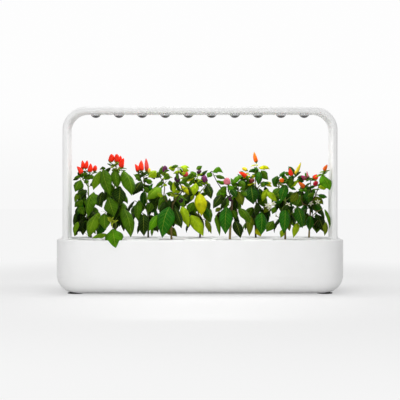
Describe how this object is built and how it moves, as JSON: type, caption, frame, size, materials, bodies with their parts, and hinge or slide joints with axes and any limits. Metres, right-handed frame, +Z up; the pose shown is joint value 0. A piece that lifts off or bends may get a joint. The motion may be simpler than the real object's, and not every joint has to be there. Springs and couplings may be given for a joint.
{
  "type": "countertop hydroponic garden",
  "caption": "Countertop hydroponic garden: water tank with a planting deck, chili plants in lift-out pods and a lamp arch on stacked extension arms.",
  "frame": {"origin": "on the surface it stands on, under the middle of the tank", "axes": "+X to the right along the tank, +Y to the back, +Z up"},
  "size_m": [0.615, 0.19, 0.401],
  "materials": {
    "white_abs": "satin",
    "lid_abs": "satin",
    "foot_rubber": "matte",
    "steel": "satin",
    "contact_brass": "satin",
    "black_plastic": "matte",
    "float_plastic": "satin",
    "smoky_lens": "gloss",
    "circuit_board": "satin",
    "led": "gloss",
    "growing_medium": "matte",
    "felt": "matte",
    "chili_foliage": "satin"
  },
  "bodies": {
    "base": {"water_tank": "white_abs", "feet": "foot_rubber", "arm_socket_left": "white_abs", "arm_socket_right": "white_abs", "socket_screws": "steel", "contact_pins": "contact_brass", "dc_inlet": "black_plastic", "inlet_lead": "black_plastic"},
    "deck": {"deck_lid": "lid_abs"},
    "float": {"water_float": "float_plastic"},
    "lower_arms": {"lower_arm_left": "white_abs", "lower_arm_right": "white_abs", "lower_conductors": "contact_brass"},
    "upper_arms": {"upper_arm_left": "white_abs", "upper_arm_right": "white_abs", "upper_conductors": "contact_brass"},
    "lamp": {"lamp_shell": "white_abs", "lamp_cover": "lid_abs", "lamp_lenses": "smoky_lens", "led_board": "circuit_board", "led_emitters": "led", "driver_board": "circuit_board", "lamp_lead": "black_plastic", "lamp_screws": "steel"},
    "pod_1": {"cup_1": "lid_abs", "growing_plug_1": "growing_medium", "wick_1": "felt", "chili_plant_1": "chili_foliage"},
    "pod_2": {"cup_2": "lid_abs", "growing_plug_2": "growing_medium", "wick_2": "felt", "chili_plant_2": "chili_foliage"},
    "pod_3": {"cup_3": "lid_abs", "growing_plug_3": "growing_medium", "wick_3": "felt", "chili_plant_3": "chili_foliage"},
    "pod_4": {"cup_4": "lid_abs", "growing_plug_4": "growing_medium", "wick_4": "felt", "chili_plant_4": "chili_foliage"},
    "pod_5": {"cup_5": "lid_abs", "growing_plug_5": "growing_medium", "wick_5": "felt", "chili_plant_5": "chili_foliage"},
    "pod_6": {"cup_6": "lid_abs", "growing_plug_6": "growing_medium", "wick_6": "felt", "chili_plant_6": "chili_foliage"},
    "pod_7": {"cup_7": "lid_abs", "growing_plug_7": "growing_medium", "wick_7": "felt", "chili_plant_7": "chili_foliage"},
    "pod_8": {"cup_8": "lid_abs", "growing_plug_8": "growing_medium", "wick_8": "felt", "chili_plant_8": "chili_foliage"},
    "pod_9": {"cup_9": "lid_abs", "growing_plug_9": "growing_medium", "wick_9": "felt", "chili_plant_9": "chili_foliage"}
  },
  "joints": [
    {"name": "deck_lift", "type": "slide", "parent": "base", "child": "deck", "axis": [0, 0, 1], "range_m": [0, 0.03]},
    {"name": "float_rise", "type": "slide", "parent": "deck", "child": "float", "axis": [0, 0, 1], "range_m": [0, 0.019]},
    {"name": "lower_arms_lift", "type": "slide", "parent": "base", "child": "lower_arms", "axis": [0, 0, 1], "range_m": [0, 0.028]},
    {"name": "upper_arms_lift", "type": "slide", "parent": "lower_arms", "child": "upper_arms", "axis": [0, 0, 1], "range_m": [0, 0.028]},
    {"name": "lamp_lift", "type": "slide", "parent": "upper_arms", "child": "lamp", "axis": [0, 0, 1], "range_m": [0, 0.028]},
    {"name": "pod_1_lift", "type": "slide", "parent": "deck", "child": "pod_1", "axis": [0, 0, 1], "range_m": [0, 0.064]},
    {"name": "pod_2_lift", "type": "slide", "parent": "deck", "child": "pod_2", "axis": [0, 0, 1], "range_m": [0, 0.064]},
    {"name": "pod_3_lift", "type": "slide", "parent": "deck", "child": "pod_3", "axis": [0, 0, 1], "range_m": [0, 0.064]},
    {"name": "pod_4_lift", "type": "slide", "parent": "deck", "child": "pod_4", "axis": [0, 0, 1], "range_m": [0, 0.064]},
    {"name": "pod_5_lift", "type": "slide", "parent": "deck", "child": "pod_5", "axis": [0, 0, 1], "range_m": [0, 0.064]},
    {"name": "pod_6_lift", "type": "slide", "parent": "deck", "child": "pod_6", "axis": [0, 0, 1], "range_m": [0, 0.064]},
    {"name": "pod_7_lift", "type": "slide", "parent": "deck", "child": "pod_7", "axis": [0, 0, 1], "range_m": [0, 0.064]},
    {"name": "pod_8_lift", "type": "slide", "parent": "deck", "child": "pod_8", "axis": [0, 0, 1], "range_m": [0, 0.064]},
    {"name": "pod_9_lift", "type": "slide", "parent": "deck", "child": "pod_9", "axis": [0, 0, 1], "range_m": [0, 0.064]}
  ]
}
